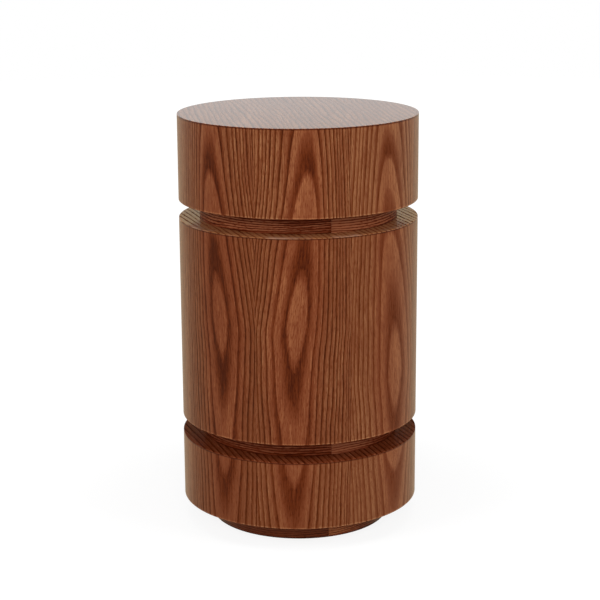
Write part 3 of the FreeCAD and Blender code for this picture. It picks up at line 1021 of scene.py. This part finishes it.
class TABLE_OT_stage(bpy.types.Operator):
    """Makes the floor, the soft light and the camera"""

    bl_idname = "drum_table.stage"
    bl_label = "Stage"

    def execute(self, context):
        stage = context.scene.drum_table_stage
        self.lay_floor(stage)
        self.light_room(context, stage)
        self.place_camera(context, stage)
        return {"FINISHED"}

    def lay_floor(self, stage):
        """A matt floor that is white to the camera and keeps a soft shadow."""
        material, tree = blank("floor_matt_paint")
        ray = add(tree, "LightPath")
        # The light that falls on the floor only shows near the table, where the shadow lies.
        place = add(tree, "TexCoord").outputs["Object"]
        away = add(tree, "VectorMath", [place], operation="LENGTH")
        glow_share = add(
            tree, "MapRange",
            {
                "Value": away.outputs["Value"], "From Min": stage.shadow_start,
                "From Max": stage.shadow_end, "To Min": 1.0 - stage.shadow_share,
            },
            interpolation_type="SMOOTHSTEP",
        )
        seen = add(tree, "Math", [ray.outputs["Is Camera Ray"], glow_share], operation="MULTIPLY")
        mirrored = mirrored_share(tree, ray)
        lit = add(tree, "BsdfDiffuse", {"Color": stage.floor_colour})
        glow = add(tree, "Emission", {"Color": WHITE, "Strength": stage.floor_glow})
        warm = add(tree, "Emission", {"Color": stage.reflected_floor})
        to_eye = add(tree, "MixShader", [seen, lit, glow])
        to_all = add(tree, "MixShader", [mirrored, to_eye, warm])
        add(tree, "OutputMaterial", {"Surface": to_all})
        mesh = bmesh.new()
        bmesh.ops.create_circle(mesh, cap_ends=True, segments=stage.floor_steps, radius=stage.floor_radius)
        floor = made_object(mesh, "floor", material)

    def light_room(self, context, stage):
        """White surroundings for the eye, a lower soft light from all round, and four lamps."""
        world = bpy.data.worlds.new("soft_room")
        world.use_nodes = True
        tree = world.node_tree
        tree.nodes.clear()
        ray = add(tree, "LightPath")
        mirrored = mirrored_share(tree, ray)
        # A white sweep stands all round, and the room above it is dim in reflections.
        direction = add(tree, "TexCoord").outputs["Generated"]
        parts = add(tree, "SeparateXYZ", [direction])
        height = add(
            tree, "MapRange",
            {
                "Value": parts.outputs["Z"], "From Min": math.sin(stage.sweep_full),
                "From Max": math.sin(stage.sweep_end),
            },
        )
        sweep = add(
            tree, "ValToRGB", {"Fac": height},
            stops=(
                (0.0, WHITE),
                (stage.edge_start, stage.sweep_edge),
                (stage.edge_end, stage.sweep_edge),
                (1.0, stage.dim_room),
            ),
        )
        light = add(tree, "Background", {"Color": WHITE, "Strength": stage.room_light})
        mirror = add(tree, "Background", {"Color": sweep})
        white = add(tree, "Background", {"Color": WHITE})
        to_gloss = add(tree, "MixShader", [mirrored, light, mirror])
        sky = add(tree, "MixShader", [ray.outputs["Is Camera Ray"], to_gloss, white])
        add(tree, "OutputWorld", {"Surface": sky})
        context.scene.world = world
        # Each lamp's place, width and power in watts.
        lamps = (
            ("left_lamp", (-2.2, -1.5, 1.8), 1.2, 37.5),
            ("right_lamp", (2.3, -1.3, 1.8), 1.2, 34.0),
            ("front_lamp", (0.1, -3.0, 1.4), 1.2, 34.0),
            ("top_lamp", (0.0, -0.4, 2.9), 1.8, 20.0),
        )
        for name, place, size, power in lamps:
            data = bpy.data.lights.new(name, "AREA")
            data.size = size
            data.energy = power
            lamp = bpy.data.objects.new(name, data)
            lamp.location = place
            aim = lamp.location.copy()
            aim.z -= AIM_LEVEL
            lamp.rotation_euler = aim.to_track_quat("Z", "Y").to_euler()
            lamp.visible_glossy = False
            context.scene.collection.objects.link(lamp)

    def place_camera(self, context, stage):
        """A long lens, a little above the table's top, looking slightly down."""
        data = bpy.data.cameras.new("camera")
        data.lens = stage.lens
        camera = bpy.data.objects.new("camera", data)
        tilt = Matrix.Rotation(QUARTER_TURN - stage.camera_pitch, 4, "X")
        roll = Matrix.Rotation(stage.camera_roll, 4, "Z")
        camera.matrix_world = Matrix.Translation(stage.camera_place) @ tilt @ roll
        context.scene.collection.objects.link(camera)
        context.scene.camera = camera
        context.scene.view_settings.view_transform = "Standard"


class TABLE_PT_panel(bpy.types.Panel):
    """Lists the operators and their settings"""

    bl_idname = "TABLE_PT_panel"
    bl_label = "Drum side table"
    bl_space_type = "VIEW_3D"
    bl_region_type = "UI"
    bl_category = "Table"

    def draw(self, context):
        for operator in OPERATORS:
            self.layout.operator(operator.bl_idname)
        for name, group in SETTINGS.items():
            box = self.layout.box()
            box.label(text=group.__doc__)
            settings = getattr(context.scene, name)
            for field in settings.bl_rna.properties:
                if field.identifier not in {"rna_type", "name"}:
                    box.prop(settings, field.identifier)


SETTINGS = {
    "drum_table_stain": StainSettings,
    "drum_table_grain": GrainSettings,
    "drum_table_leaves": LeafSettings,
    "drum_table_strips": StripSettings,
    "drum_table_top": TopSettings,
    "drum_table_stage": StageSettings,
    **{f"drum_table_{group.__name__}": group for group in FINISHES},
}
OPERATORS = (
    TABLE_OT_stage,
    TABLE_OT_side_leaves,
    TABLE_OT_strips,
    TABLE_OT_faces,
    TABLE_OT_glides,
    TABLE_OT_hidden_parts,
)


def register():
    """Registers the classes and hangs the settings on the scene."""
    for group in (*SETTINGS.values(), *OPERATORS, TABLE_PT_panel):
        bpy.utils.register_class(group)
    for name, group in SETTINGS.items():
        setattr(bpy.types.Scene, name, PointerProperty(type=group))


def unregister():
    """Takes the settings off the scene and unregisters the classes."""
    for name in SETTINGS:
        delattr(bpy.types.Scene, name)
    for group in (TABLE_PT_panel, *reversed(OPERATORS), *reversed(SETTINGS.values())):
        bpy.utils.unregister_class(group)


def main():
    """Makes every piece and the stage, and writes the two boxes."""
    register()
    bpy.ops.drum_table.stage()
    bpy.ops.drum_table.side_leaves()
    bpy.ops.drum_table.strips()
    bpy.ops.drum_table.faces()
    bpy.ops.drum_table.glides()
    bpy.ops.drum_table.hidden_parts()


if __name__ == "__main__":
    main()
